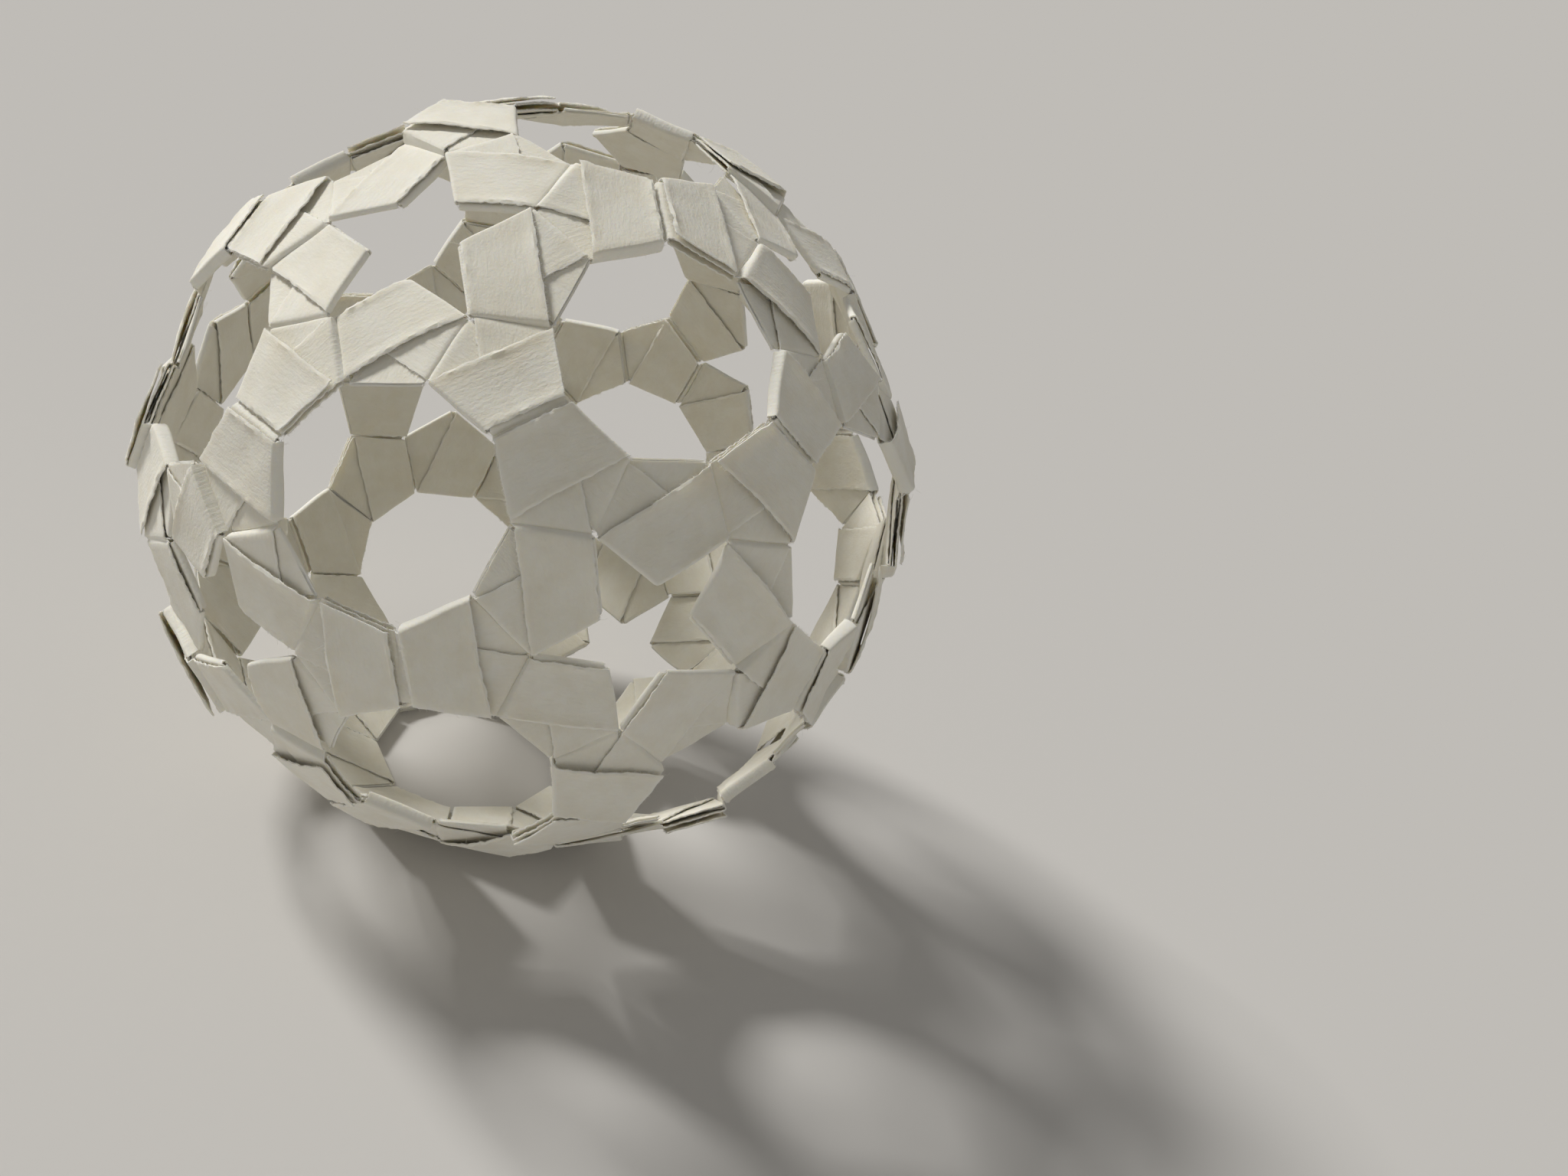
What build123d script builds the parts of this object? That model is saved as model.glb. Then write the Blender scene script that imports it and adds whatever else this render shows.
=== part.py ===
from build123d import *
import math
import os

# Paper strip, in millimetres
strip_width = 10.0
paper_thickness = 0.3

# Air between two layers of a knot, and between a cut edge and the fold that wraps it
layer_gap = 0.1
fold_clearance = 0.1

# Air between a fold and the bend of the hinge beside it
hinge_clearance = 0.25

# Length by which a pass runs over a hinge before it is trimmed to the mitre
hinge_overrun = 1.0

# Angle by which a link knot leans back from the plane that touches the ball at the link
link_lean = 11.5

# A knot is a pentagon, and its layers are counted from the outside to the inside
knot_sides = 5
middle_level = 3

# Sides over which a knot is hinged to its neighbours
link_hinges = (0, 2, 4)
inner_hinges = (1, 3)

# Way of a strip through each knot: the sides it meets in turn, and the layer of each pass between them
link_turns = (2, 4)
link_levels = (2,)
inner_turns = (1, 4, 2, 0, 3)
inner_levels = (2, 4, 5, 3)
end_turns = (0, 2, 4, 1, 3)
end_levels = (3, 4, 5, 1)

golden = (1 + math.sqrt(5)) / 2
full_turn = 360
knot_turn = full_turn / knot_sides
edge_inset = paper_thickness + fold_clearance
layer_pitch = paper_thickness + layer_gap
knot_edge = (strip_width + 2 * edge_inset) / math.sin(math.radians(knot_turn))


# One pentagon of folded strip: its corners run counter-clockwise, seen from outside the ball
class Knot:
    def __init__(self, corners, hinges):
        self.corners = corners
        self.hinges = hinges
        self.normal = self.along(0).cross(self.along(1)).normalized()

    def along(self, side):
        start = self.corners[side % knot_sides]
        finish = self.corners[(side + 1) % knot_sides]
        return (finish - start).normalized()

    # Point near a corner, at given distances from the side that ends there and the side that starts there
    def point(self, corner, from_back, from_ahead):
        back = self.along(corner - 1)
        ahead = self.along(corner)
        shift = ahead * from_back - back * from_ahead
        return self.corners[corner % knot_sides] + shift / back.cross(ahead).length

    # Where the two edges of the strip come to a side, at a distance into the knot
    def gate(self, side, distance):
        return self.point(side, edge_inset, distance), self.point(side + 1, distance, edge_inset)

    # Distance from a side at which a fold of the strip stands
    def setback(self, side):
        return hinge_clearance if side in self.hinges else 0

    # This knot, turned about an axis
    def turned(self, axis, angle):
        return Knot([corner.rotate(axis, angle) for corner in self.corners], self.hinges)

    # Plane that halves the bend between this knot and its neighbour over one side
    def mitre(self, side, neighbour):
        inward = (self.normal + neighbour.normal).cross(self.along(side))
        return Plane(origin=self.corners[side], z_dir=inward)


def layer_bottom(level):
    return (middle_level - level) * layer_pitch - paper_thickness / 2


# Flat block on a knot, from the underside of one layer to the top of another
def block(knot, outline, lower, upper):
    base = Face(Wire.make_polygon(outline, close=True))
    base = base.moved(Location(knot.normal * layer_bottom(lower)))
    height = layer_bottom(upper) + paper_thickness - layer_bottom(lower)
    return extrude(base, amount=height, dir=knot.normal)


# Cut edge of a pass, run on over the hinges at its ends
def run_on(start, finish, over_start, over_finish):
    overrun = (finish - start).normalized() * hinge_overrun
    return start - overrun * over_start, finish + overrun * over_finish


# One pass of the strip across a knot, between two of its sides
def strip_pass(knot, start, finish, level, reach, crossed):
    first = start if (finish - start) % knot_sides == 2 else finish
    last = finish if first == start else start
    far_start, near_start = knot.gate(first, reach[first])
    near_finish, far_finish = knot.gate(last, reach[last])
    near_edge = run_on(near_start, near_finish, first in crossed, last in crossed)
    far_edge = run_on(far_finish, far_start, last in crossed, first in crossed)
    return block(knot, [*near_edge, *far_edge], level, level)


# Folded edge of the strip at one side of a knot, from one layer to another
def fold(knot, side, one_level, other_level):
    outer_start, outer_finish = knot.gate(side, knot.setback(side))
    inner_start, inner_finish = knot.gate(side, knot.setback(side) + paper_thickness)
    outline = [outer_start, outer_finish, inner_finish, inner_start]
    return block(knot, outline, max(one_level, other_level), min(one_level, other_level))


# All passes and folds of the strip in one knot, trimmed where the strip runs on into a neighbour
def wind(knot, turns, levels, neighbours):
    pieces = []
    for start, finish, level in zip(turns, turns[1:], levels):
        crossed = [side for side in (start, finish) if side in neighbours]
        reach = {side: 0 if side in crossed else knot.setback(side) for side in (start, finish)}
        if finish == turns[-1] and finish not in crossed:
            reach[finish] = edge_inset
        piece = strip_pass(knot, start, finish, level, reach, crossed)
        for side in crossed:
            piece = split(piece, bisect_by=knot.mitre(side, neighbours[side]), keep=Keep.TOP)
        pieces.append(piece)
    for side, upper, lower in zip(turns[1:], levels, levels[1:]):
        pieces.append(fold(knot, side, upper, lower))
    return pieces


# Knots round one star hole, in the frame of a link: Z leaves the ball through the link, X points to the star
def star_knots():
    star_angle = math.atan(1 / golden)
    star_axis = Axis((0, 0, 0), (math.sin(star_angle), 0, math.cos(star_angle)))
    half_turn = math.radians(knot_turn) / 2
    lean = math.radians(link_lean)
    half_edge = knot_edge / 2
    half_diagonal = golden * half_edge
    waist = knot_edge * math.sin(2 * half_turn)
    length = waist + knot_edge * math.sin(half_turn)
    waist_radius = (half_edge + half_diagonal * math.cos(half_turn)) / math.sin(half_turn)
    link_radius = (waist_radius + waist * math.cos(star_angle - lean)) / math.sin(star_angle)

    # Corners of the link knot: two at the link, two at its waist and one at the tip of the star
    inward = Vector(math.cos(lean), 0, -math.sin(lean))
    across = Vector(0, 1, 0)
    middle = Vector(0, 0, link_radius)
    tip = middle + inward * length
    waist_before = middle + inward * waist + across * half_diagonal
    waist_after = middle + inward * waist - across * half_diagonal
    link_before = middle + across * half_edge
    link_after = middle - across * half_edge
    link_knot = Knot([tip, waist_before, link_before, link_after, waist_after], link_hinges)

    # The next link knot round the star is the same one, turned by one point of the star
    end_knot = link_knot.turned(star_axis, knot_turn)

    # The inner knot lies between the two, and its last corner points to the middle of the star
    next_tip, next_waist = end_knot.corners[0], end_knot.corners[1]
    between_tips = (tip + next_tip) / 2
    between_waists = (waist_after + next_waist) / 2
    half_span = (next_tip - tip).length / 2
    rise = math.sqrt(knot_edge ** 2 - half_span ** 2)
    star_corner = between_tips + (between_tips - between_waists).normalized() * rise
    inner_knot = Knot([star_corner, tip, waist_after, next_waist, next_tip], inner_hinges)
    return link_knot, inner_knot, end_knot


# A whole strip: it crosses one link in the middle and is wound the same way on both sides of it
def folded_strip():
    link_knot, inner_knot, end_knot = star_knots()
    link_axis = Axis((0, 0, 0), (0, 0, 1))
    partner = link_knot.turned(link_axis, full_turn / 2)
    half = wind(link_knot, link_turns, link_levels, {2: partner, 4: inner_knot})
    half += wind(inner_knot, inner_turns, inner_levels, {1: link_knot, 3: end_knot})
    half += wind(end_knot, end_turns, end_levels, {0: inner_knot})
    pieces = half + [piece.rotate(link_axis, full_turn / 2) for piece in half]
    return pieces[0].fuse(*pieces[1:])


# Middles of the twelve star holes, as directions, with the ball standing on one of its nine-sided holes
def star_directions():
    standing = Plane(origin=(0, 0, 0), x_dir=(1, -1, 0), z_dir=(1, 1, 1))
    directions = []
    for short in (1, -1):
        for long in (golden, -golden):
            for corner in ((0, short, long), (short, long, 0), (long, 0, short)):
                directions.append(standing.to_local_coords(Vector(corner)).normalized())
    return directions


# Frame of every link between two neighbouring stars, from the lowest link to the highest
def link_frames():
    stars = star_directions()
    neighbour_angle = math.degrees(math.atan(2))
    frames = []
    for place, star in enumerate(stars):
        for other in stars[place + 1:]:
            if round(star.get_angle(other) - neighbour_angle) == 0:
                frames.append(Plane(origin=(0, 0, 0), x_dir=star - other, z_dir=star + other))
    heading = lambda frame: math.degrees(math.atan2(frame.z_dir.Y, frame.z_dir.X)) % full_turn
    return sorted(frames, key=lambda frame: (round(frame.z_dir.Z, 3), round(heading(frame), 1)))


strip = folded_strip()
strips = [strip.moved(frame.location) for frame in link_frames()]

# The ball stands on the level Z = 0, with its axis on Z
lowest = min(placed.bounding_box().min.Z for placed in strips)
os.makedirs("parts", exist_ok=True)
for number, placed in enumerate(strips, start=1):
    export_step(placed.moved(Location((0, 0, -lowest))), f"parts/strip_{number:02d}.step")
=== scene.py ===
import math
import random

import bpy
from mathutils import Matrix, Vector, noise


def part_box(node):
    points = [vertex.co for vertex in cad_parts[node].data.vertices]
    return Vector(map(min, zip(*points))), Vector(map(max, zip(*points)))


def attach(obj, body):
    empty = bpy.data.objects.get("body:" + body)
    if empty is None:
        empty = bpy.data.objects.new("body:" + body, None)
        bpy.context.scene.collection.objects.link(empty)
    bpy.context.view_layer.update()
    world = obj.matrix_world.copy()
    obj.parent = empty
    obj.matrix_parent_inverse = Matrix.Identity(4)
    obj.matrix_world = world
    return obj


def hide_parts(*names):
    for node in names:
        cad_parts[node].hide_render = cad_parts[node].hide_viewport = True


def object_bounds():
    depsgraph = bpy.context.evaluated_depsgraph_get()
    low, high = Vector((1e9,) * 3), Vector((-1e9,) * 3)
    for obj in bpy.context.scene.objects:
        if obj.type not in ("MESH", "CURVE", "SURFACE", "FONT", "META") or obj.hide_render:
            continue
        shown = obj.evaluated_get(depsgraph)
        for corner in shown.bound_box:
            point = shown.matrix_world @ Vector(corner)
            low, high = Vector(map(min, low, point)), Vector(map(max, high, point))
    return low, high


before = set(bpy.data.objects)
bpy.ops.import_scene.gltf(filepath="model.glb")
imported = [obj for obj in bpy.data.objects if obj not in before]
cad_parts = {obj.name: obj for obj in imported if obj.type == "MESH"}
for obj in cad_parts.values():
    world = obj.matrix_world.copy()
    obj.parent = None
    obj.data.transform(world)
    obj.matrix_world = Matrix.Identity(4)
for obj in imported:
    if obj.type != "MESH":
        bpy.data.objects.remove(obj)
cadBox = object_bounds()
print("frame loaded:", len(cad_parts), "strips")

mm = 0.001
golden = (1 + math.sqrt(5)) / 2
knotSides = 5
knotTurn = 2 * math.pi / knotSides

# the ball stands on one of its nine-sided holes, so its middle is half way up
ballMiddle = Vector((0, 0, (cadBox[0][2] + cadBox[1][2]) / 2))

# one paper strip, as it is cut and wound
paperStrip = {
    "width": 10.0 * mm,
    "thickness": 0.3 * mm,
    "layerGap": 0.1 * mm,
    "foldClearance": 0.1 * mm,
    "hingeClearance": 0.25 * mm,
    "hingeSoftness": 0.6 * mm,       # how far from a hinge the bend begins
    "hingeDip": 0.28 * mm,           # how deep the strip sinks into the groove of a hinge
    "hingeCrease": 0.9,              # how creased it is there, where 1 is a sharp fold
    # rows of the bend beside a hinge: shares of the softness and of the dip, and how creased the row is
    "hingeRowShares": ((1, 0, 0.1), (0.62, 0.25, 0.25), (0.3, 0.7, 0.5)),
    "foldBulge": 0.42 * mm,          # most that a pressed fold rounds outwards
    "foldSquareness": 0.72,          # 1 is a round fold, less is a flatter one
    "linkLean": math.radians(11.5),  # lean of a link knot, back from the link
    "middleLevel": 3,
    "linkHinges": (0, 2, 4),
    "innerHinges": (1, 3),
    "linkTurns": (2, 4), "linkLevels": (2,),
    "innerTurns": (1, 4, 2, 0, 3), "innerLevels": (2, 4, 5, 3),
    "endTurns": (0, 2, 4, 1, 3), "endLevels": (3, 4, 5, 1),
    "acrossShares": (0, 0.038, 0.085, 0.2, 0.35, 0.5, 0.65, 0.8, 0.915, 0.962, 1),
    "rowsPerPass": 20, "foldSteps": 8,
    "outerLevel": {"inner": 2, "end": 1},  # the outermost layer, where a pass has room to rise
    "luckRange": (0.3, 1.0),         # chance share of the lifts, drawn for each pass
    "luckSum": 1.2,                  # what the shares of its two edges add up to
    "freeEdgeLift": 0.6 * mm,        # most that a top pass rises along its loose edge
    "nearEdgeLift": 0.25 * mm,       # most that it rises along the edge beside a hinge
    "looseEndLift": 0.5 * mm,        # most that the tucked end rises
    "rimCurl": 0.28 * mm,            # most that a cut edge curls out of its layer
    "rimCurlShares": (0.2, 1, 0.1),  # share of the curl at the edge, and at the points next to it
    "rimCurlSize": 1.3 * mm,         # length over which the curl comes and goes
    "rimCurlMean": 0.6, "rimCurlSwing": 0.6,
    "rimCurlFadeShare": 0.125,       # share of a pass, at each end, in which the curl fades
    "rimCurlSpread": 100,            # keeps the noise of the passes apart
    # share of the curl in the layers that show: above zero outwards, below it inwards
    "curlOfLevel": {"link": {2: 0.4}, "inner": {2: 1, 5: -1}, "end": {1: 1, 5: -1}},
    "sharpAngle": math.radians(42),  # faces that meet at more than this are not shaded as one
    "seed": 700,
}
acrossShares = paperStrip["acrossShares"]
edgeInset = paperStrip["thickness"] + paperStrip["foldClearance"]
layerPitch = paperStrip["thickness"] + paperStrip["layerGap"]
knotEdge = (paperStrip["width"] + 2 * edgeInset) / math.sin(knotTurn)
turnAboutLink = Matrix.Rotation(math.pi, 3, "Z")


def makeKnot(corners, hinges):
    first = (corners[1] - corners[0]).normalized()
    second = (corners[2] - corners[1]).normalized()
    return {"corners": corners, "hinges": hinges, "normal": first.cross(second).normalized()}


def sideDirection(knot, side):
    start = knot["corners"][side % knotSides]
    return (knot["corners"][(side + 1) % knotSides] - start).normalized()


# point near a corner, at given distances from the side that ends there and the side that starts there
def nearCorner(knot, corner, fromBack, fromAhead):
    back = sideDirection(knot, corner - 1)
    ahead = sideDirection(knot, corner)
    shift = ahead * fromBack - back * fromAhead
    return knot["corners"][corner % knotSides] + shift / back.cross(ahead).length


def turnedKnot(knot, turn):
    return makeKnot([turn @ corner for corner in knot["corners"]], knot["hinges"])


# the three knots of half a strip, in the frame of a link: Z leaves the ball there, X points to the star
def starKnots():
    starAngle = math.atan(1 / golden)
    starAxis = Vector((math.sin(starAngle), 0, math.cos(starAngle)))
    halfTurn = knotTurn / 2
    lean = paperStrip["linkLean"]
    halfEdge = knotEdge / 2
    halfDiagonal = golden * halfEdge
    waist = knotEdge * math.sin(knotTurn)
    length = waist + knotEdge * math.sin(halfTurn)
    waistRadius = (halfEdge + halfDiagonal * math.cos(halfTurn)) / math.sin(halfTurn)
    linkRadius = (waistRadius + waist * math.cos(starAngle - lean)) / math.sin(starAngle)

    inward = Vector((math.cos(lean), 0, -math.sin(lean)))
    across = Vector((0, 1, 0))
    middle = Vector((0, 0, linkRadius))
    tip = middle + inward * length
    waistBefore = middle + inward * waist + across * halfDiagonal
    waistAfter = middle + inward * waist - across * halfDiagonal
    linkCorners = [tip, waistBefore, middle + across * halfEdge, middle - across * halfEdge, waistAfter]
    linkKnot = makeKnot(linkCorners, paperStrip["linkHinges"])
    endKnot = turnedKnot(linkKnot, Matrix.Rotation(knotTurn, 3, starAxis))

    nextTip, nextWaist = endKnot["corners"][0], endKnot["corners"][1]
    betweenTips = (tip + nextTip) / 2
    betweenWaists = (waistAfter + nextWaist) / 2
    rise = math.sqrt(knotEdge ** 2 - (nextTip - tip).length_squared / 4)
    starCorner = betweenTips + (betweenTips - betweenWaists).normalized() * rise
    innerCorners = [starCorner, tip, waistAfter, nextWaist, nextTip]
    return linkKnot, makeKnot(innerCorners, paperStrip["innerHinges"]), endKnot


# passes of half a strip in order, from the link to the tucked end
def halfPasses():
    linkKnot, innerKnot, endKnot = starKnots()
    passes = []
    for name, knot in (("link", linkKnot), ("inner", innerKnot), ("end", endKnot)):
        turns = paperStrip[name + "Turns"]
        for start, finish, level in zip(turns, turns[1:], paperStrip[name + "Levels"]):
            band = start + 1 if (finish - start) % knotSides == 2 else start - 1
            height = (paperStrip["middleLevel"] - level) * layerPitch
            passes.append({"knot": knot, "place": name, "start": start, "finish": finish, "level": level,
                           "band": band % knotSides, "height": height, "leftIsNear": len(passes) % 2 == 0})
    return passes


# the cut line of a pass where it meets one of its two end sides
def cutLine(strand, side, reach, leftEdge):
    near = strand["leftIsNear"] == leftEdge
    bandDistance = edgeInset if near else edgeInset + paperStrip["width"]
    if side == (strand["band"] - 1) % knotSides:
        return nearCorner(strand["knot"], strand["band"], reach, bandDistance)
    return nearCorner(strand["knot"], strand["band"] + 1, bandDistance, reach)


def passRow(strand, side, reach):
    left = cutLine(strand, side, reach, True)
    right = cutLine(strand, side, reach, False)
    return [left.lerp(right, share) for share in acrossShares]


def foldStand(strand, side):
    setback = paperStrip["hingeClearance"] if side in strand["knot"]["hinges"] else 0
    return setback + paperStrip["thickness"] / 2


# one row of points across the strip, with the knots that carry it
def ribbonRow(points, heights, normal, crease, knots):
    return {"points": points, "heights": heights, "normal": normal, "crease": crease,
            "knots": [(sum(knot["corners"], Vector()) / knotSides, knot["normal"]) for knot in knots]}


# rounded fold from one pass to the next over the same side
def foldRows(strand, following, side):
    rows = []
    bulge = min(abs(strand["height"] - following["height"]) / 2, paperStrip["foldBulge"])
    middle = (strand["height"] + following["height"]) / 2
    steps = paperStrip["foldSteps"]
    for step in range(steps + 1):
        angle = math.pi * step / steps
        outwards = max(0, math.sin(angle)) ** paperStrip["foldSquareness"]
        upwards = math.copysign(abs(math.cos(angle)) ** paperStrip["foldSquareness"], math.cos(angle))
        reach = foldStand(strand, side) + bulge * (1 - outwards)
        height = middle + (strand["height"] - middle) * upwards
        before = passRow(strand, side, reach)
        after = passRow(following, side, reach)
        points = [one.lerp(two, step / steps) for one, two in zip(before, after)]
        rows.append(ribbonRow(points, [height] * len(points), strand["knot"]["normal"], math.sin(angle),
                              [strand["knot"]]))
    return rows


# soft bend where the strip comes to a hinge: it sinks towards the groove
def hingeApproach(strand, side):
    rows = []
    knot = strand["knot"]
    for share, sunk, crease in paperStrip["hingeRowShares"]:
        points = passRow(strand, side, paperStrip["hingeSoftness"] * share)
        height = strand["height"] - paperStrip["hingeDip"] * sunk
        rows.append(ribbonRow(points, [height] * len(points), knot["normal"], crease, [knot]))
    return rows


# the strip runs on over a hinge into the next knot
def hingeRows(strand, following):
    bend = strand["knot"]["normal"].angle(following["knot"]["normal"])
    sunkHeight = strand["height"] - paperStrip["hingeDip"]
    over = -sunkHeight * math.tan(bend / 2)
    crest = [one.lerp(two, 0.5) for one, two in zip(passRow(strand, strand["finish"], over),
                                                    passRow(following, following["start"], over))]
    normal = (strand["knot"]["normal"] + following["knot"]["normal"]).normalized()
    ridge = ribbonRow(crest, [sunkHeight] * len(crest), normal, paperStrip["hingeCrease"],
                      [strand["knot"], following["knot"]])
    leaving = hingeApproach(strand, strand["finish"])
    arriving = hingeApproach(following, following["start"])
    return leaving + [ridge] + list(reversed(arriving))


# rise of a pass along its loose edges, which only the outermost layers have room for
def looseLift(strand, alongShare, acrossShare, luck):
    if strand["level"] != paperStrip["outerLevel"].get(strand["place"]):
        return 0
    towardsFar = acrossShare if strand["leftIsNear"] else 1 - acrossShare
    bow = math.sin(math.pi * alongShare)
    lift = bow * luck * paperStrip["freeEdgeLift"] * towardsFar ** 2
    lift += bow * (paperStrip["luckSum"] - luck) * paperStrip["nearEdgeLift"] * (1 - towardsFar) ** 3
    if strand["place"] == "end":
        lift += paperStrip["looseEndLift"] * luck * alongShare ** 3
    return lift


# curl of the cut edges of a pass, which fades towards its bends
def rimCurl(strand, point, column, alongShare, luck):
    fromRim = min(column, len(acrossShares) - 1 - column)
    curlShares = paperStrip["rimCurlShares"]
    if fromRim >= len(curlShares):
        return 0
    side = paperStrip["curlOfLevel"][strand["place"]].get(strand["level"], 0)
    apart = Vector((luck * paperStrip["rimCurlSpread"], column, 0))
    swing = noise.noise(point / paperStrip["rimCurlSize"] + apart)
    uneven = paperStrip["rimCurlMean"] + paperStrip["rimCurlSwing"] * swing
    fade = min(1, min(alongShare, 1 - alongShare) / paperStrip["rimCurlFadeShare"])
    return side * fade * max(0, uneven) * curlShares[fromRim] * paperStrip["rimCurl"]


# the flat run of one pass, between its first and last bend
def runRows(strand, firstRow, lastRow, luck):
    rows = []
    count = paperStrip["rowsPerPass"]
    for step in range(1, count):
        along = step / count
        points = [one.lerp(two, along) for one, two in zip(firstRow, lastRow)]
        heights = []
        for column, (point, share) in enumerate(zip(points, acrossShares)):
            lift = looseLift(strand, along, share, luck) + rimCurl(strand, point, column, along, luck)
            heights.append(strand["height"] + lift)
        rows.append(ribbonRow(points, heights, strand["knot"]["normal"], 0, [strand["knot"]]))
    return rows


# half a strip as rows of points across it, from the link outwards
def halfRibbon(passes, dice):
    first = passes[0]
    sunkHeight = first["height"] - paperStrip["hingeDip"]
    crest = passRow(first, first["start"], -sunkHeight * math.tan(paperStrip["linkLean"]))
    crest = [(one + turnAboutLink @ two) / 2 for one, two in zip(crest, reversed(crest))]
    rows = [ribbonRow(crest, [sunkHeight] * len(crest), Vector((0, 0, 1)), paperStrip["hingeCrease"],
                      [first["knot"], turnedKnot(first["knot"], turnAboutLink)])]
    rows += reversed(hingeApproach(first, first["start"]))
    lastRow = rows[-1]["points"]
    for place, strand in enumerate(passes):
        luck = dice.uniform(*paperStrip["luckRange"])
        if place + 1 == len(passes):
            tail = passRow(strand, strand["finish"], edgeInset)
            rows += runRows(strand, lastRow, tail, luck)
            lifts = [strand["height"] + looseLift(strand, 1, share, luck) for share in acrossShares]
            rows.append(ribbonRow(tail, lifts, strand["knot"]["normal"], 0, [strand["knot"]]))
            break
        following = passes[place + 1]
        if following["knot"] is strand["knot"]:
            bend = foldRows(strand, following, strand["finish"])
        else:
            bend = hingeRows(strand, following)
        rows += runRows(strand, lastRow, bend[0]["points"], luck)
        rows += bend
        lastRow = bend[-1]["points"]
    return rows


# a whole strip is its half and the same half turned about the link
def wholeRibbon(passes, dice):
    turn = turnAboutLink
    ahead = halfRibbon(passes, dice)
    behind = []
    for row in halfRibbon(passes, dice)[1:]:
        behind.append({"points": [turn @ point for point in reversed(row["points"])],
                       "heights": list(reversed(row["heights"])),
                       "normal": turn @ row["normal"], "crease": row["crease"],
                       "knots": [(turn @ middle, turn @ normal) for middle, normal in row["knots"]]})
    return list(reversed(behind)) + ahead


# hand-made knots stray a little from their true places, and each keeps its stray for all strips in it
knotStray = {
    "tilt": math.radians(7.5), "spin": math.radians(2.5), "shift": 0.65 * mm,
    "tiltShares": (0.2, 1),          # least and most of the tilt
    "trueBelow": 24 * mm,            # the lowest knots stray less, because the ball stands on them
    "sameKnot": 1 * mm,              # middles closer than this are those of one knot
    "seed": 5000,
}
strayedKnots = []


def strayOf(middle, normal):
    for known, turn in strayedKnots:
        if (known - middle).length < knotStray["sameKnot"]:
            return turn
    dice = random.Random(knotStray["seed"] + len(strayedKnots))
    share = min(1, middle.z / knotStray["trueBelow"]) ** 2
    axis = Matrix.Rotation(dice.uniform(0, 2 * math.pi), 3, normal) @ normal.orthogonal().normalized()
    tilt = Matrix.Rotation(share * dice.uniform(*knotStray["tiltShares"]) * knotStray["tilt"], 4, axis)
    spin = Matrix.Rotation(share * dice.uniform(-1, 1) * knotStray["spin"], 4, normal)
    shift = normal * share * dice.uniform(-1, 1) * knotStray["shift"]
    turn = Matrix.Translation(middle + shift) @ tilt @ spin @ Matrix.Translation(-middle)
    strayedKnots.append((middle, turn))
    return turn


# way out of the strip at a point of its cut edge, and nothing elsewhere
def outwardAt(rows, line, column):
    points = rows[line]["points"]
    across = (points[-1] - points[0]).normalized()
    if column == 0:
        return -across
    if column == len(points) - 1:
        return across
    if line in (0, len(rows) - 1):
        inner = rows[1 if line == 0 else line - 1]["points"]
        return (points[column] - inner[column]).normalized()
    return Vector()


# the strip's middle sheet, with what the finishing tree needs stored on its points
def ribbonMesh(name, rows, place):
    columns = len(acrossShares)
    points, shifts, outwards, creases, rims = [], [], [], [], []
    for line, row in enumerate(rows):
        turns = [strayOf(place @ middle + ballMiddle, place @ normal) for middle, normal in row["knots"]]
        atTail = line in (0, len(rows) - 1)
        for column, (point, height) in enumerate(zip(row["points"], row["heights"])):
            true = place @ (point + row["normal"] * height) + ballMiddle
            points.append(sum((turn @ true for turn in turns), Vector()) / len(turns))
            shifts.append(place @ (row["normal"] * height))
            outwards.append(place @ outwardAt(rows, line, column))
            creases.append(row["crease"])
            rims.append(1 if atTail or column in (0, columns - 1) else 0)
    faces = []
    for line in range(len(rows) - 1):
        for column in range(columns - 1):
            corner = line * columns + column
            faces.append((corner, corner + 1, corner + columns + 1, corner + columns))
    mesh = bpy.data.meshes.new(name)
    mesh.from_pydata(points, [], faces)
    for attribute, vectors in (("layerShift", shifts), ("outward", outwards)):
        mesh.attributes.new(attribute, "FLOAT_VECTOR", "POINT").data.foreach_set(
            "vector", [value for vector in vectors for value in vector])
    mesh.attributes.new("crease", "FLOAT", "POINT").data.foreach_set("value", creases)
    mesh.attributes.new("rim", "FLOAT", "POINT").data.foreach_set("value", rims)
    along = [0.0]
    middleColumn = columns // 2
    for before, after in zip(rows, rows[1:]):
        along.append(along[-1] + (after["points"][middleColumn] - before["points"][middleColumn]).length)
    stripMap = mesh.uv_layers.new(name="stripMap")
    for loop in mesh.loops:
        line, column = divmod(loop.vertex_index, columns)
        stripMap.data[loop.index].uv = (along[line] / paperStrip["width"], acrossShares[column])
    mesh.update()
    return mesh


# a node, with its settings and the values of its inputs
def addNode(tree, kind, settings=None, values=None):
    node = tree.nodes.new(kind)
    for key, value in (settings or {}).items():
        setattr(node, key, value)
    for key, value in (values or {}).items():
        node.inputs[key].default_value = value
    return node


def wire(tree, *pairs):
    for output, target in pairs:
        tree.links.new(output, target)


def addRange(tree, fromRange, toRange=(0, 1)):
    return addNode(tree, "ShaderNodeMapRange", values={
        "From Min": fromRange[0], "From Max": fromRange[1], "To Min": toRange[0], "To Max": toRange[1]})


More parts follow.
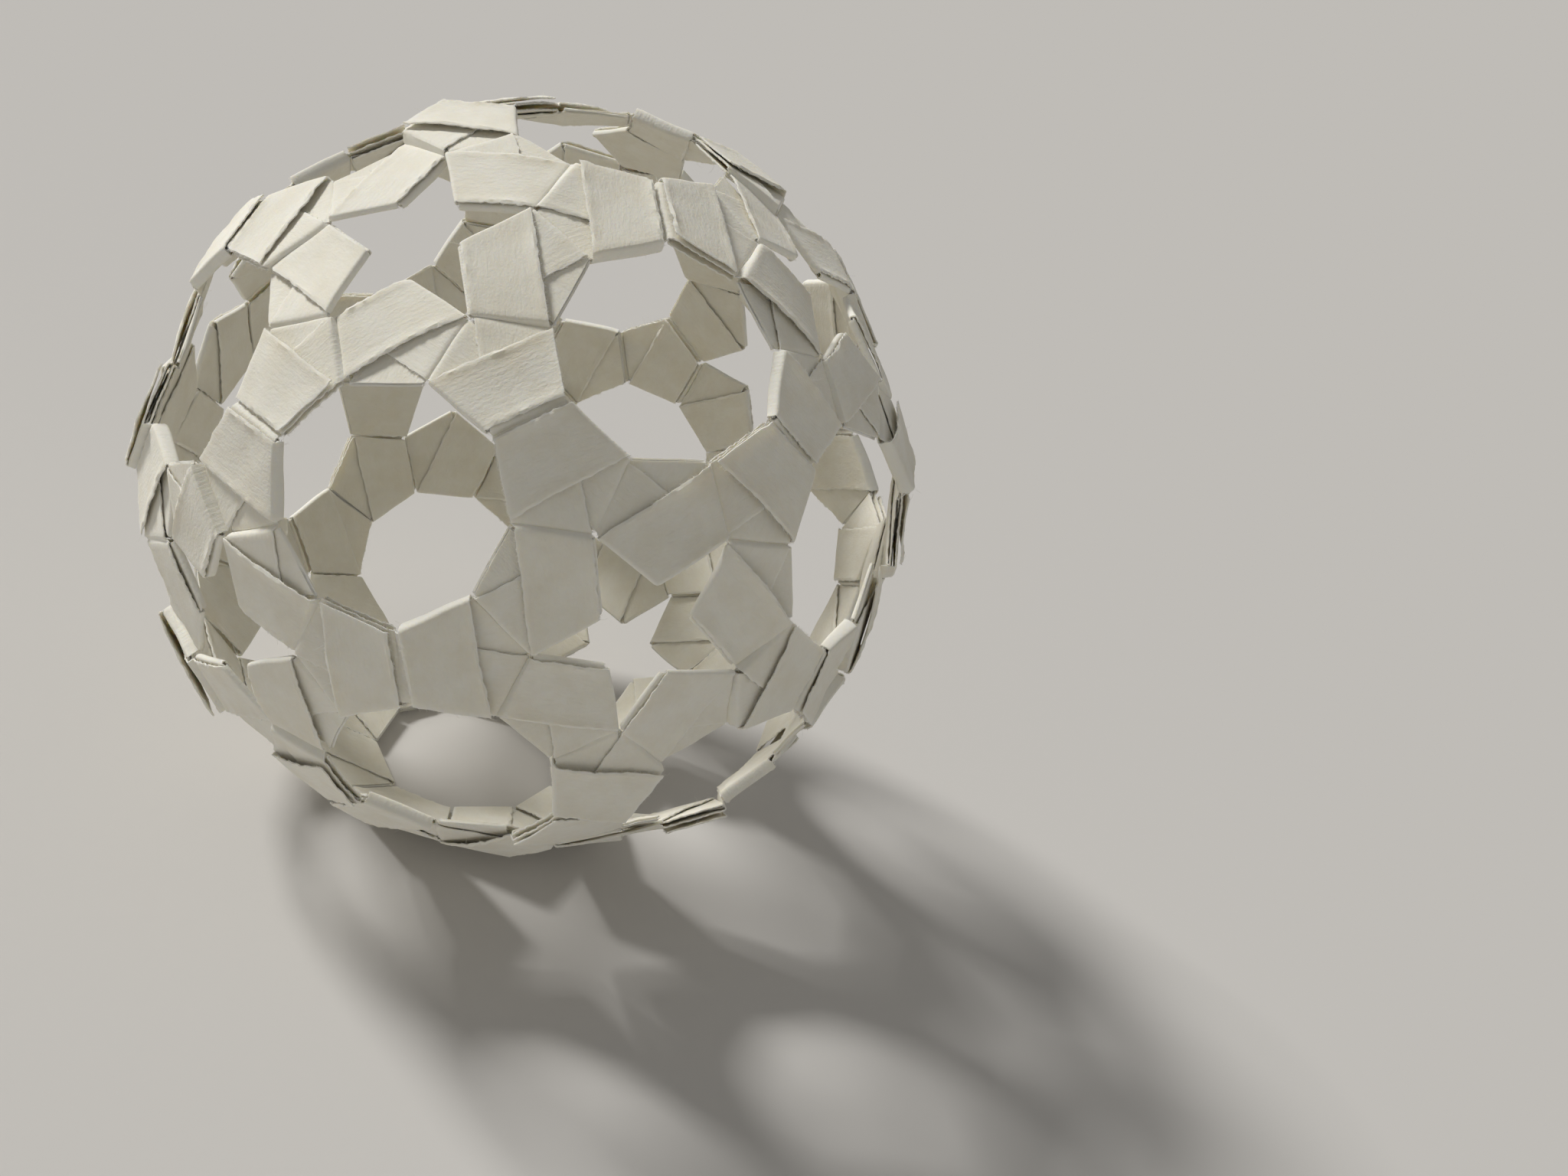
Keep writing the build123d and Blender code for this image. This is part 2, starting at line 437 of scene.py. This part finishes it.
# ivory paper: thick, matt, with a felt of short fibres; folds and cut edges get a paler tone, a painted
# highlight where they catch the light
ivoryPaper = {
    "paleTone": (0.885, 0.857, 0.765, 1),
    "deepTone": (0.82, 0.777, 0.66, 1),
    "creaseTone": (0.90, 0.885, 0.82, 1),
    "rubShare": 0.7,                 # share of the paler painted highlight tone on a fold or a cut edge
    "cloudScale": 190, "cloudDetail": 4.0, "cloudRoughness": 0.6, "cloudRange": (0.25, 0.6),
    "feltScale": (6, 18, 1),         # felt marks on one strip width, along and across it
    "feltDetail": 4.0, "feltDistortion": 0.6, "feltRise": 0.085 * mm,
    "feltRange": (0.3, 0.7), "feltShares": (0.75, 1.05),  # how much of the pale tone the felt leaves
    "toothScale": 2600, "toothDetail": 2.0, "toothRise": 0.05 * mm,
    "roughness": 0.88, "specular": 0.22,
    "glow": 0.5, "glowRadius": (1.0, 0.86, 0.6), "glowScale": 0.4 * mm,
}


def paperMaterial():
    look = ivoryPaper
    material = bpy.data.materials.new("ivoryPaper")
    material.use_nodes = True
    tree = material.node_tree
    shader = tree.nodes["Principled BSDF"]
    shader.inputs["Roughness"].default_value = look["roughness"]
    shader.inputs["Specular IOR Level"].default_value = look["specular"]
    shader.inputs["Subsurface Weight"].default_value = look["glow"]
    shader.inputs["Subsurface Radius"].default_value = look["glowRadius"]
    shader.inputs["Subsurface Scale"].default_value = look["glowScale"]
    place = addNode(tree, "ShaderNodeTexCoord")
    clouds = addNode(tree, "ShaderNodeTexNoise", values={
        "Scale": look["cloudScale"], "Detail": look["cloudDetail"], "Roughness": look["cloudRoughness"]})
    strip = addNode(tree, "ShaderNodeUVMap", {"uv_map": "stripMap"})
    marks = addNode(tree, "ShaderNodeMapping", values={"Scale": look["feltScale"]})
    felt = addNode(tree, "ShaderNodeTexNoise", values={
        "Scale": 1.0, "Detail": look["feltDetail"], "Distortion": look["feltDistortion"]})
    tooth = addNode(tree, "ShaderNodeTexNoise", values={
        "Scale": look["toothScale"], "Detail": look["toothDetail"]})
    tone = addNode(tree, "ShaderNodeMix", {"data_type": "RGBA"})
    tone.inputs["A"].default_value = look["deepTone"]
    tone.inputs["B"].default_value = look["paleTone"]
    spread = addRange(tree, look["cloudRange"])
    speckle = addRange(tree, look["feltRange"], look["feltShares"])
    blend = addNode(tree, "ShaderNodeMath", {"operation": "MULTIPLY", "use_clamp": True})
    # folds, cut edges and the fibres on them are mixed towards a paler tone: a painted highlight where they
    # catch the light
    crease = addNode(tree, "ShaderNodeAttribute", {"attribute_name": "crease"})
    highlightMix = addNode(tree, "ShaderNodeMix", {"data_type": "RGBA"})
    highlightMix.inputs["B"].default_value = look["creaseTone"]
    rim = addNode(tree, "ShaderNodeAttribute", {"attribute_name": "rim"})
    foldOrCutEdge = addNode(tree, "ShaderNodeMath", {"operation": "MAXIMUM"})
    highlightAmount = addNode(tree, "ShaderNodeMath", {"operation": "MULTIPLY"}, {1: look["rubShare"]})
    feltBump = addNode(tree, "ShaderNodeBump", values={"Strength": 1.0, "Distance": look["feltRise"]})
    toothBump = addNode(tree, "ShaderNodeBump", values={"Strength": 1.0, "Distance": look["toothRise"]})
    wire(tree,
         (place.outputs["Object"], clouds.inputs["Vector"]),
         (strip.outputs["UV"], marks.inputs["Vector"]),
         (marks.outputs["Vector"], felt.inputs["Vector"]),
         (place.outputs["Object"], tooth.inputs["Vector"]),
         (clouds.outputs["Fac"], spread.inputs["Value"]),
         (felt.outputs["Fac"], speckle.inputs["Value"]),
         (spread.outputs["Result"], blend.inputs[0]),
         (speckle.outputs["Result"], blend.inputs[1]),
         (blend.outputs["Value"], tone.inputs["Factor"]),
         (tone.outputs["Result"], highlightMix.inputs["A"]),
         (crease.outputs["Fac"], foldOrCutEdge.inputs[0]),
         (rim.outputs["Fac"], foldOrCutEdge.inputs[1]),
         (foldOrCutEdge.outputs[0], highlightAmount.inputs[0]),
         (highlightAmount.outputs["Value"], highlightMix.inputs["Factor"]),
         (highlightMix.outputs["Result"], shader.inputs["Base Color"]),
         (tooth.outputs["Fac"], toothBump.inputs["Height"]),
         (felt.outputs["Fac"], feltBump.inputs["Height"]),
         (toothBump.outputs["Normal"], feltBump.inputs["Normal"]),
         (feltBump.outputs["Normal"], shader.inputs["Normal"]))
    return material


# what the finishing tree does to a strip: hand-made unevenness, open layers, thickness, nap and loose hairs
stripFinish = {
    "leanSize": 34 * mm, "leanHeight": 1.5 * mm,
    "waveSize": 7 * mm, "waveHeight": 0.24 * mm,
    "openSize": 17 * mm, "opening": 0.4,
    "openFrom": 0.42, "openFull": 0.75,  # noise at which the layers begin to open, and are open
    "standHeight": 9 * mm,               # below this the shifts fade, because the ball stands there
    "thickness": paperStrip["thickness"],
    "closeGap": 0.001 * mm,              # points of the two faces nearer than this become one
    "rimSize": 0.8 * mm, "rimRoughness": 0.32 * mm,
    "rimRounding": 0.05 * mm,
    "napSpacing": 0.25 * mm, "napLength": 0.5 * mm, "napRadius": 0.055 * mm,
    "napShare": 0.9, "napSwerve": 0.9,   # share of the places that bear one, and how far they swerve
    "hairSpacing": 5 * mm, "hairLength": 1.8 * mm, "hairRadius": 0.018 * mm,
    "hairShare": 0.6, "hairSwerve": 1.5,
    "smallest": 0.35,                    # least size of a nap or hair, against its full size
    "seed": 7,
}

# a nap is a spike and a hair is a bent tube; the bend is that of a hair of length 1
looseFibre = {"sides": 3, "hairSteps": 2, "hairMiddle": (0.25, 0.1, 0.55), "hairEnd": (0, 0.35, 1)}


# value stored on the points of the sheet
def storedValue(tree, name, kind):
    stored = addNode(tree, "GeometryNodeInputNamedAttribute", {"data_type": kind}, {"Name": name})
    return stored.outputs["Attribute"]


# shift by a smooth noise, as high as given to either side
def noiseShift(tree, position, size, height):
    scale = addNode(tree, "ShaderNodeMath", {"operation": "DIVIDE"}, {0: 1.0})
    cloud = addNode(tree, "ShaderNodeTexNoise", {"normalize": True}, {"Detail": 1.0})
    centred = addNode(tree, "ShaderNodeVectorMath", {"operation": "SUBTRACT"}, {1: (0.5, 0.5, 0.5)})
    sized = addNode(tree, "ShaderNodeVectorMath", {"operation": "SCALE"})
    double = addNode(tree, "ShaderNodeMath", {"operation": "MULTIPLY"}, {1: 2.0})
    wire(tree,
         (size, scale.inputs[1]),
         (scale.outputs[0], cloud.inputs["Scale"]),
         (position, cloud.inputs["Vector"]),
         (cloud.outputs["Color"], centred.inputs[0]),
         (centred.outputs[0], sized.inputs[0]),
         (height, double.inputs[0]),
         (double.outputs[0], sized.inputs["Scale"]))
    return sized.outputs[0]


# copies of a small shape along the cut edges of the sheet, each turned and sized by chance
def strewn(tree, sheet, shape, given, name):
    beside = addNode(tree, "GeometryNodeInputMeshEdgeNeighbors")
    atCut = addNode(tree, "FunctionNodeCompare", {"data_type": "INT", "operation": "EQUAL"})
    faceCount, wanted = [socket for socket in atCut.inputs if socket.type == "INT"]
    wanted.default_value = 1
    cutEdges = addNode(tree, "GeometryNodeMeshToCurve")
    spaced = addNode(tree, "GeometryNodeResampleCurve", {"mode": "LENGTH"})
    # the copies are marked as cut edge, so the paper paints them with its paler painted highlight tone
    pale = addNode(tree, "GeometryNodeStoreNamedAttribute", {"data_type": "FLOAT"},
                   {"Name": "rim", "Value": 1.0})
    chosen = addNode(tree, "FunctionNodeRandomValue", {"data_type": "BOOLEAN"})
    outward = storedValue(tree, "outward", "FLOAT_VECTOR")
    anyWay = addNode(tree, "FunctionNodeRandomValue", {"data_type": "FLOAT_VECTOR"})
    anyWay.inputs["Min"].default_value = (-1, -1, -1)
    swerve = addNode(tree, "ShaderNodeVectorMath", {"operation": "SCALE"})
    aim = addNode(tree, "ShaderNodeVectorMath", {"operation": "ADD"})
    aimed = addNode(tree, "FunctionNodeAlignRotationToVector", {"axis": "Z"})
    sized = addNode(tree, "FunctionNodeRandomValue", {"data_type": "FLOAT"})
    least, most = [socket for socket in sized.inputs if socket.type == "VALUE" and socket.enabled][:2]
    most.default_value = 1.0
    copies = addNode(tree, "GeometryNodeInstanceOnPoints")
    loose = addNode(tree, "GeometryNodeRealizeInstances")
    wire(tree,
         (beside.outputs["Face Count"], faceCount),
         (sheet, cutEdges.inputs["Mesh"]),
         (atCut.outputs["Result"], cutEdges.inputs["Selection"]),
         (cutEdges.outputs[0], spaced.inputs["Curve"]),
         (given[name + "Spacing"], spaced.inputs["Length"]),
         (shape, pale.inputs["Geometry"]),
         (given[name + "Share"], chosen.inputs["Probability"]),
         (given["smallest"], least),
         (given["seed"], chosen.inputs["Seed"]),
         (given["seed"], anyWay.inputs["Seed"]),
         (anyWay.outputs[0], swerve.inputs[0]),
         (given[name + "Swerve"], swerve.inputs["Scale"]),
         (outward, aim.inputs[0]),
         (swerve.outputs[0], aim.inputs[1]),
         (aim.outputs[0], aimed.inputs["Vector"]),
         (given["seed"], sized.inputs["Seed"]),
         (spaced.outputs[0], copies.inputs["Points"]),
         (chosen.outputs[3], copies.inputs["Selection"]),
         (pale.outputs[0], copies.inputs["Instance"]),
         (aimed.outputs[0], copies.inputs["Rotation"]),
         (sized.outputs[1], copies.inputs["Scale"]),
         (copies.outputs[0], loose.inputs[0]))
    return loose.outputs[0]


# tree that turns the middle sheet of a strip into finished paper
def finishTree():
    tree = bpy.data.node_groups.new("stripFinish", "GeometryNodeTree")
    tree.interface.new_socket("Strip", in_out="INPUT", socket_type="NodeSocketGeometry")
    for name in stripFinish:
        kind = "NodeSocketInt" if name == "seed" else "NodeSocketFloat"
        tree.interface.new_socket(name, in_out="INPUT", socket_type=kind)
    tree.interface.new_socket("paper", in_out="INPUT", socket_type="NodeSocketMaterial")
    tree.interface.new_socket("Strip", in_out="OUTPUT", socket_type="NodeSocketGeometry")
    given = addNode(tree, "NodeGroupInput").outputs
    result = addNode(tree, "NodeGroupOutput")
    position = addNode(tree, "GeometryNodeInputPosition").outputs[0]
    normal = addNode(tree, "GeometryNodeInputNormal").outputs[0]

    # unevenness follows the place in space, so layers that lie together move together
    lean = noiseShift(tree, position, given["leanSize"], given["leanHeight"])
    wave = noiseShift(tree, position, given["waveSize"], given["waveHeight"])
    openScale = addNode(tree, "ShaderNodeMath", {"operation": "DIVIDE"}, {0: 1.0})
    openNoise = addNode(tree, "ShaderNodeTexNoise", {"normalize": True}, {"Detail": 0.0})
    openRange = addNode(tree, "ShaderNodeMapRange")
    openAmount = addNode(tree, "ShaderNodeMath", {"operation": "MULTIPLY"})
    layerShift = storedValue(tree, "layerShift", "FLOAT_VECTOR")
    opened = addNode(tree, "ShaderNodeVectorMath", {"operation": "SCALE"})
    leanAndWave = addNode(tree, "ShaderNodeVectorMath", {"operation": "ADD"})
    allShift = addNode(tree, "ShaderNodeVectorMath", {"operation": "ADD"})
    height = addNode(tree, "ShaderNodeSeparateXYZ")
    standShare = addNode(tree, "ShaderNodeMapRange", {"interpolation_type": "SMOOTHSTEP"})
    eased = addNode(tree, "ShaderNodeVectorMath", {"operation": "SCALE"})
    rim = storedValue(tree, "rim", "FLOAT")
    rough = noiseShift(tree, position, given["rimSize"], given["rimRoughness"])
    roughRim = addNode(tree, "ShaderNodeVectorMath", {"operation": "SCALE"})
    easedAndRough = addNode(tree, "ShaderNodeVectorMath", {"operation": "ADD"})
    uneven = addNode(tree, "GeometryNodeSetPosition")
    wire(tree,
         (rough, roughRim.inputs[0]),
         (rim, roughRim.inputs["Scale"]),
         (eased.outputs[0], easedAndRough.inputs[0]),
         (roughRim.outputs[0], easedAndRough.inputs[1]),
         (given["openSize"], openScale.inputs[1]),
         (openScale.outputs[0], openNoise.inputs["Scale"]),
         (position, openNoise.inputs["Vector"]),
         (openNoise.outputs["Fac"], openRange.inputs["Value"]),
         (given["openFrom"], openRange.inputs["From Min"]),
         (given["openFull"], openRange.inputs["From Max"]),
         (openRange.outputs["Result"], openAmount.inputs[0]),
         (given["opening"], openAmount.inputs[1]),
         (layerShift, opened.inputs[0]),
         (openAmount.outputs[0], opened.inputs["Scale"]),
         (lean, leanAndWave.inputs[0]),
         (wave, leanAndWave.inputs[1]),
         (leanAndWave.outputs[0], allShift.inputs[0]),
         (opened.outputs[0], allShift.inputs[1]),
         (position, height.inputs[0]),
         (height.outputs["Z"], standShare.inputs["Value"]),
         (given["standHeight"], standShare.inputs["From Max"]),
         (allShift.outputs[0], eased.inputs[0]),
         (standShare.outputs["Result"], eased.inputs["Scale"]),
         (given["Strip"], uneven.inputs["Geometry"]),
         (easedAndRough.outputs[0], uneven.inputs["Offset"]))

    # thickness, half to each side of the middle sheet
    halfBack = addNode(tree, "ShaderNodeMath", {"operation": "MULTIPLY"}, {1: -0.5})
    backShift = addNode(tree, "ShaderNodeVectorMath", {"operation": "SCALE"})
    back = addNode(tree, "GeometryNodeSetPosition")
    raised = addNode(tree, "GeometryNodeExtrudeMesh", {"mode": "FACES"}, {"Individual": False})
    flipped = addNode(tree, "GeometryNodeFlipFaces")
    sheet = addNode(tree, "GeometryNodeJoinGeometry")
    closed = addNode(tree, "GeometryNodeMergeByDistance")
    rounding = addNode(tree, "ShaderNodeMath", {"operation": "MULTIPLY"})
    inwards = addNode(tree, "ShaderNodeMath", {"operation": "MULTIPLY"}, {1: -1.0})
    roundShift = addNode(tree, "ShaderNodeVectorMath", {"operation": "SCALE"})
    rounded = addNode(tree, "GeometryNodeSetPosition")
    wire(tree,
         (rim, rounding.inputs[0]),
         (given["rimRounding"], rounding.inputs[1]),
         (rounding.outputs[0], inwards.inputs[0]),
         (normal, roundShift.inputs[0]),
         (inwards.outputs[0], roundShift.inputs["Scale"]),
         (closed.outputs[0], rounded.inputs["Geometry"]),
         (roundShift.outputs[0], rounded.inputs["Offset"]),
         (given["thickness"], halfBack.inputs[0]),
         (normal, backShift.inputs[0]),
         (halfBack.outputs[0], backShift.inputs["Scale"]),
         (uneven.outputs[0], back.inputs["Geometry"]),
         (backShift.outputs[0], back.inputs["Offset"]),
         (back.outputs[0], raised.inputs["Mesh"]),
         (given["thickness"], raised.inputs["Offset Scale"]),
         (back.outputs[0], flipped.inputs["Mesh"]),
         (flipped.outputs[0], sheet.inputs[0]),
         (raised.outputs["Mesh"], sheet.inputs[0]),
         (sheet.outputs[0], closed.inputs["Geometry"]),
         (given["closeGap"], closed.inputs["Distance"]))

    # nap and loose hairs along the cut edges; then no point of the whole is left below the floor
    fibre = looseFibre
    spike = addNode(tree, "GeometryNodeMeshCone", {"fill_type": "NGON"}, {"Vertices": fibre["sides"]})
    bow = addNode(tree, "GeometryNodeCurveQuadraticBezier", values={
        "Resolution": fibre["hairSteps"], "Start": (0, 0, 0),
        "Middle": fibre["hairMiddle"], "End": fibre["hairEnd"]})
    sizedBow = addNode(tree, "GeometryNodeTransform")
    profile = addNode(tree, "GeometryNodeCurvePrimitiveCircle", values={"Resolution": fibre["sides"]})
    hair = addNode(tree, "GeometryNodeCurveToMesh", values={"Fill Caps": True})
    everything = addNode(tree, "GeometryNodeJoinGeometry")
    onFloor = addNode(tree, "ShaderNodeVectorMath", {"operation": "MAXIMUM"}, {1: (-1, -1, 0)})
    standing = addNode(tree, "GeometryNodeSetPosition")
    whole = addNode(tree, "GeometryNodeRealizeInstances")
    dressed = addNode(tree, "GeometryNodeSetMaterial")
    wire(tree,
         (given["napRadius"], spike.inputs["Radius Bottom"]),
         (given["napLength"], spike.inputs["Depth"]),
         (bow.outputs[0], sizedBow.inputs["Geometry"]),
         (given["hairLength"], sizedBow.inputs["Scale"]),
         (sizedBow.outputs[0], hair.inputs["Curve"]),
         (given["hairRadius"], profile.inputs["Radius"]),
         (profile.outputs[0], hair.inputs["Profile Curve"]),
         (strewn(tree, uneven.outputs[0], spike.outputs[0], given, "nap"), everything.inputs[0]),
         (strewn(tree, uneven.outputs[0], hair.outputs[0], given, "hair"), everything.inputs[0]),
         (rounded.outputs[0], everything.inputs[0]),
         (everything.outputs[0], standing.inputs["Geometry"]),
         (position, onFloor.inputs[0]),
         (onFloor.outputs[0], standing.inputs["Position"]),
         (standing.outputs[0], whole.inputs[0]),
         (whole.outputs[0], dressed.inputs["Geometry"]),
         (given["paper"], dressed.inputs["Material"]),
         (dressed.outputs[0], result.inputs[0]))
    return tree


# directions of the twelve stars, with the ball standing on a nine-sided hole
def starDirections():
    up = Vector((1, 1, 1)).normalized()
    level = Vector((1, -1, 0)).normalized()
    standing = Matrix((level, up.cross(level), up))
    directions = []
    for short in (1, -1):
        for long in (golden, -golden):
            for corner in ((0, short, long), (short, long, 0), (long, 0, short)):
                directions.append((standing @ Vector(corner)).normalized())
    return directions


# turn that takes a strip from the frame of a link to its place on the ball
def linkPlaces():
    stars = starDirections()
    neighbourAngle = math.atan(2)
    places = []
    for index, star in enumerate(stars):
        for other in stars[index + 1:]:
            if round(math.degrees(star.angle(other) - neighbourAngle)) == 0:
                out = (star + other).normalized()
                toStar = (star - other).normalized()
                places.append(Matrix((toStar, out.cross(toStar), out)).transposed())
    return places


def boxMiddle(points):
    low = [min(point[axis] for point in points) for axis in range(3)]
    high = [max(point[axis] for point in points) for axis in range(3)]
    return (Vector(low) + Vector(high)) / 2


def finishedMesh(name, sheet, tree, paper, number):
    draft = bpy.data.objects.new(name + "Draft", sheet)
    bpy.context.scene.collection.objects.link(draft)
    modifier = draft.modifiers.new("finish", "NODES")
    modifier.node_group = tree
    for socket in tree.interface.items_tree:
        if socket.in_out == "INPUT" and socket.name in stripFinish:
            value = stripFinish[socket.name]
            modifier[socket.identifier] = value + number if socket.name == "seed" else value
        elif socket.in_out == "INPUT" and socket.name == "paper":
            modifier[socket.identifier] = paper
    depsgraph = bpy.context.evaluated_depsgraph_get()
    mesh = bpy.data.meshes.new_from_object(draft.evaluated_get(depsgraph))
    draft.modifiers.remove(modifier)
    bpy.data.objects.remove(draft)
    bpy.data.meshes.remove(sheet)
    return mesh


def makeStrips():
    paper = paperMaterial()
    tree = finishTree()
    passes = halfPasses()
    waiting = {}
    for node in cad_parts:
        low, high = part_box(node)
        waiting[node] = (low + high) / 2
    for number, place in enumerate(linkPlaces(), start=1):
        dice = random.Random(paperStrip["seed"] + number)
        rows = wholeRibbon(passes, dice)
        middle = boxMiddle([place @ point for row in rows for point in row["points"]]) + ballMiddle
        node = min(waiting, key=lambda name: (waiting[name] - middle).length)
        waiting.pop(node)
        name = "paper" + node.replace("_", "").capitalize()
        mesh = finishedMesh(name, ribbonMesh(name, rows, place), tree, paper, number)
        mesh.name = name
        mesh.shade_smooth()
        mesh.set_sharp_from_angle(angle=paperStrip["sharpAngle"])
        piece = bpy.data.objects.new(name, mesh)
        bpy.context.scene.collection.objects.link(piece)
        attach(piece, "root")
        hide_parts(node)
    print("strips folded:", number)


# camera at the photograph's angle, for an image of 2048 by 1536
photoView = {
    "place": Vector((11.9, -251.7, 134.0)) * mm,  # from the middle of the ball
    "heading": math.radians(7.63),
    "depression": math.radians(29.03),
    "roll": math.radians(19.18),
    "focalPixels": 2200, "imageWidth": 2048, "sensorWidth": 36,
    "nearest": 10 * mm,              # what is closer to the camera is not drawn
}


def makeCamera():
    view = photoView
    heading, depression, roll = view["heading"], view["depression"], view["roll"]
    flat = Vector((math.sin(heading), math.cos(heading), 0))
    forward = flat * math.cos(depression) - Vector((0, 0, math.sin(depression)))
    level = forward.cross(Vector((0, 0, 1))).normalized()
    upright = level.cross(forward)
    right = level * math.cos(roll) + upright * math.sin(roll)
    up = upright * math.cos(roll) - level * math.sin(roll)
    data = bpy.data.cameras.new("photoCamera")
    data.sensor_width = view["sensorWidth"]
    data.lens = view["sensorWidth"] * view["focalPixels"] / view["imageWidth"]
    data.clip_start = view["nearest"]
    camera = bpy.data.objects.new("photoCamera", data)
    turn = Matrix((right, up, -forward)).transposed().to_4x4()
    camera.matrix_world = Matrix.Translation(ballMiddle + view["place"]) @ turn
    bpy.context.scene.collection.objects.link(camera)
    bpy.context.scene.camera = camera
    print("camera placed")
    return right, forward


# pale floor and even, soft light, the key from the upper left behind the ball
studio = {
    "floorSize": 40.0, "floorTone": (0.66, 0.645, 0.625, 1), "floorRoughness": 1.0, "floorSpecular": 0.0,
    "worldTone": (1.0, 0.985, 0.955, 1), "worldStrength": 0.24,
    "backTone": (0.521, 0.502, 0.471, 1),   # what the camera sees beyond the floor
    "keyFrom": (-0.71, 0.64, 0.38), "keyTone": (1.0, 0.985, 0.955),
    "keyStrength": 2.6, "keySpread": math.radians(13),
    "fillFrom": (0.5, 0.4, -0.8), "fillTone": (1.0, 0.985, 0.955),
    "fillStrength": 0.09, "fillSpread": math.radians(60),
}


# a lamp far away; its place is given across the picture, up from the floor and away from the camera
def addLamp(name, right, forward):
    data = bpy.data.lights.new(name + "Lamp", "SUN")
    data.energy = studio[name + "Strength"]
    data.angle = studio[name + "Spread"]
    data.color = studio[name + "Tone"]
    across, rise, deep = studio[name + "From"]
    flatRight = Vector((right.x, right.y, 0)).normalized()
    flatForward = Vector((forward.x, forward.y, 0)).normalized()
    source = flatRight * across + Vector((0, 0, rise)) + flatForward * deep
    lamp = bpy.data.objects.new(name + "Lamp", data)
    lamp.location = ballMiddle + source
    lamp.rotation_euler = (-source).to_track_quat("-Z", "Y").to_euler()
    bpy.context.scene.collection.objects.link(lamp)


# light from all round, and a pale backdrop for what looks past the floor
def makeWorld():
    world = bpy.data.worlds.new("studio")
    world.use_nodes = True
    tree = world.node_tree
    light = tree.nodes["Background"]
    light.inputs["Color"].default_value = studio["worldTone"]
    light.inputs["Strength"].default_value = studio["worldStrength"]
    back = addNode(tree, "ShaderNodeBackground", values={"Color": studio["backTone"], "Strength": 1.0})
    rays = addNode(tree, "ShaderNodeLightPath")
    cameraOrGloss = addNode(tree, "ShaderNodeMath", {"operation": "MAXIMUM"})
    seen = addNode(tree, "ShaderNodeMath", {"operation": "MAXIMUM"})
    either = addNode(tree, "ShaderNodeMixShader")
    wire(tree,
         (rays.outputs["Is Camera Ray"], cameraOrGloss.inputs[0]),
         (rays.outputs["Is Glossy Ray"], cameraOrGloss.inputs[1]),
         (cameraOrGloss.outputs[0], seen.inputs[0]),
         (rays.outputs["Is Transmission Ray"], seen.inputs[1]),
         (seen.outputs[0], either.inputs["Fac"]),
         (light.outputs[0], either.inputs[1]),
         (back.outputs[0], either.inputs[2]),
         (either.outputs[0], tree.nodes["World Output"].inputs["Surface"]))
    bpy.context.scene.world = world


def makeStudio(right, forward):
    half = studio["floorSize"] / 2
    corners = [(-half, -half, 0), (half, -half, 0), (half, half, 0), (-half, half, 0)]
    mesh = bpy.data.meshes.new("floor")
    mesh.from_pydata(corners, [], [(0, 1, 2, 3)])
    floor = bpy.data.objects.new("floor", mesh)
    material = bpy.data.materials.new("paleFloor")
    material.use_nodes = True
    shader = material.node_tree.nodes["Principled BSDF"]
    shader.inputs["Base Color"].default_value = studio["floorTone"]
    shader.inputs["Roughness"].default_value = studio["floorRoughness"]
    shader.inputs["Specular IOR Level"].default_value = studio["floorSpecular"]
    mesh.materials.append(material)
    bpy.context.scene.collection.objects.link(floor)
    makeWorld()
    for name in ("key", "fill"):
        addLamp(name, right, forward)
    bpy.context.scene.view_settings.view_transform = "Standard"
    print("studio ready")


makeStrips()
makeStudio(*makeCamera())
